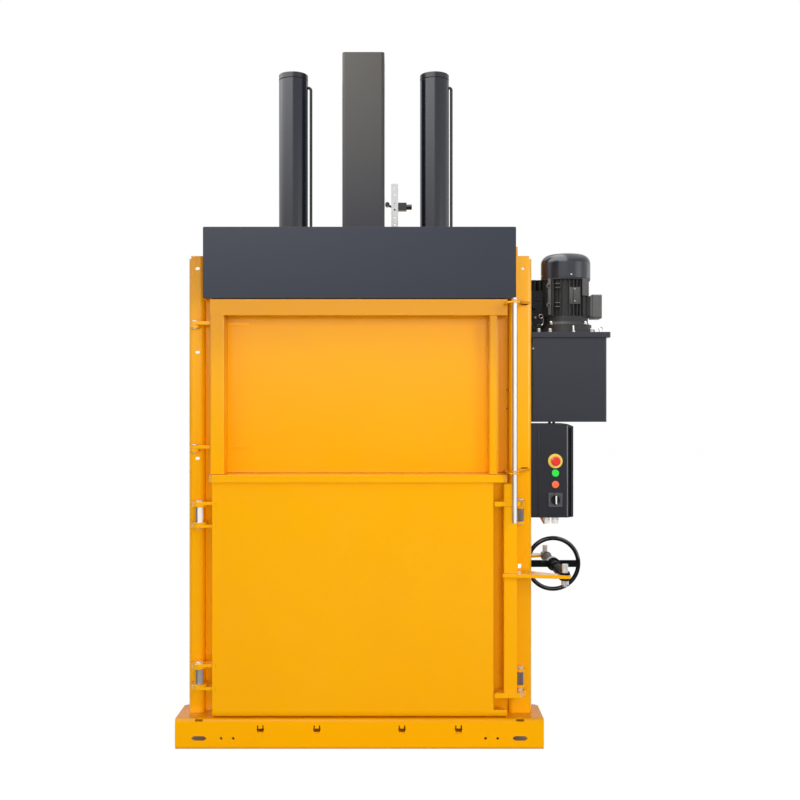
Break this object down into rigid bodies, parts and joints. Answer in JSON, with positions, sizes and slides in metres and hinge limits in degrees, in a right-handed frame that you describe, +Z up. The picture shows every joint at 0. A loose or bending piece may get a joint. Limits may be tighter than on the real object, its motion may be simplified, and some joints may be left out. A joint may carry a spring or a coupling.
{
  "type": "vertical recycling baler",
  "caption": "Vertical baler with a press plate on twin cylinders, a square guide column, a split front door, a handwheel lock and a side hydraulic unit.",
  "frame": {"origin": "floor level under the axis of the guide column, midway between the two cylinders", "axes": "+X to the right of someone facing the doors, +Y to the rear, +Z up"},
  "size_m": [1.795, 1.156, 2.985],
  "materials": {
    "yellow_paint": "semi-gloss powder coat",
    "grey_paint": "satin powder coat",
    "dark_paint": "satin",
    "chrome": "polished",
    "zinc": "zinc plated",
    "black_plastic": "matt",
    "grey_plastic": "matt",
    "white_plastic": "matt",
    "yellow_plastic": "gloss",
    "red_plastic": "gloss",
    "green_plastic": "gloss",
    "orange_plastic": "gloss"
  },
  "bodies": {
    "frame": {"base_feet": "yellow_paint", "base_beams": "yellow_paint", "chamber_floor": "yellow_paint", "side_wall_left": "yellow_paint", "side_wall_right": "yellow_paint", "back_wall": "yellow_paint", "wall_ribs": "yellow_paint", "side_posts": "yellow_paint", "column_left": "yellow_paint", "column_right": "yellow_paint", "crown_beam": "yellow_paint", "guide_sleeve": "yellow_paint", "front_lintel": "yellow_paint", "rod_guides": "yellow_paint", "hinge_lugs": "yellow_paint", "link_bracket": "yellow_paint", "tank_brackets": "yellow_paint", "header_cover": "grey_paint", "cylinder_barrels": "grey_paint", "cylinder_heads": "grey_paint", "oil_tank": "grey_paint", "tank_lid": "grey_paint", "motor_flange": "grey_paint", "motor_body": "grey_paint", "fan_cover": "grey_paint", "terminal_box": "grey_paint", "oil_pipes": "grey_paint", "control_box": "dark_paint", "valve_block": "dark_paint", "hinge_pins": "chrome", "switch_strip": "zinc", "limit_switch": "black_plastic", "selector_bezel": "grey_plastic", "cable_fittings": "white_plastic", "stop_collar": "yellow_plastic"},
    "platen": {"press_plate": "yellow_paint", "guide_column": "grey_paint", "piston_rods": "chrome"},
    "upper_door": {"upper_door_panel": "yellow_paint", "upper_door_frame": "yellow_paint", "upper_hinge_leaves": "yellow_paint", "rod_hooks": "yellow_paint"},
    "lower_door": {"lower_door_skin": "yellow_paint", "lower_door_back": "yellow_paint", "lower_door_rail": "yellow_paint", "lower_hinge_leaves": "yellow_paint"},
    "lock": {"lock_beam": "yellow_paint", "lock_ears": "yellow_paint", "lock_bushes": "chrome", "lock_lever": "yellow_paint"},
    "link": {"link_fork": "dark_paint"},
    "wheel": {"link_tube": "zinc", "handwheel": "dark_paint"},
    "spindle": {"link_spindle": "zinc"},
    "rod": {"locking_rod": "chrome"},
    "stop": {"stop_button": "red_plastic"},
    "start": {"start_button": "green_plastic"},
    "reset": {"reset_button": "orange_plastic"},
    "selector": {"selector_knob": "black_plastic"},
    "lever": {"switch_lever": "black_plastic"}
  },
  "joints": [
    {"name": "platen_slide", "type": "slide", "parent": "frame", "child": "platen", "axis": [0, 0, -1], "range_m": [0, 0.86]},
    {"name": "upper_door_hinge", "type": "hinge", "parent": "frame", "child": "upper_door", "pos_m": [-0.68, -0.485, 1.475], "axis": [0, 0, 1], "range_deg": [-120, 0]},
    {"name": "lower_door_hinge", "type": "hinge", "parent": "frame", "child": "lower_door", "pos_m": [-0.657, -0.5, 0.61], "axis": [0, 0, 1], "range_deg": [-120, 0]},
    {"name": "link_swing", "type": "hinge", "parent": "frame", "child": "link", "pos_m": [0.829, -0.006, 0.712], "axis": [0, 0, 1], "range_deg": [0, 1.49]},
    {"name": "handwheel_spin", "type": "hinge", "parent": "link", "child": "wheel", "pos_m": [0.829, -0.25, 0.712], "axis": [0, 1, 0], "range_deg": [0, 1968]},
    {"name": "spindle_slide", "type": "slide", "parent": "link", "child": "spindle", "axis": [0, 1, 0], "range_m": [0, 0.04382]},
    {"name": "lock_hinge", "type": "hinge", "parent": "frame", "child": "lock", "pos_m": [0.657, -0.5, 0.65], "axis": [0, 0, 1], "range_deg": [0, 14.1]},
    {"name": "rod_slide", "type": "slide", "parent": "frame", "child": "rod", "axis": [0, 0, 1], "range_m": [0, 0.06]},
    {"name": "stop_press", "type": "slide", "parent": "frame", "child": "stop", "axis": [0, 1, 0], "range_m": [0, 0.006]},
    {"name": "start_press", "type": "slide", "parent": "frame", "child": "start", "axis": [0, 1, 0], "range_m": [0, 0.003], "stiffness_N_per_m": 1000},
    {"name": "reset_press", "type": "slide", "parent": "frame", "child": "reset", "axis": [0, 1, 0], "range_m": [0, 0.003], "stiffness_N_per_m": 1000},
    {"name": "selector_turn", "type": "hinge", "parent": "frame", "child": "selector", "pos_m": [0.81, -0.444, 1.007], "axis": [0, -1, 0], "range_deg": [-45, 45]},
    {"name": "lever_swing", "type": "hinge", "parent": "frame", "child": "lever", "pos_m": [0.141, -0.095, 2.297], "axis": [0, 1, 0], "range_deg": [-15, 20], "stiffness_Nm_per_rad": 0.4}
  ],
  "couplings": [
    {"joint": "link_swing", "follows": "handwheel_spin", "ratio": 0.00074653},
    {"joint": "spindle_slide", "follows": "handwheel_spin", "m_per_rad": 0.001273},
    {"joint": "lock_hinge", "follows": "handwheel_spin", "ratio": 0.0071138}
  ]
}
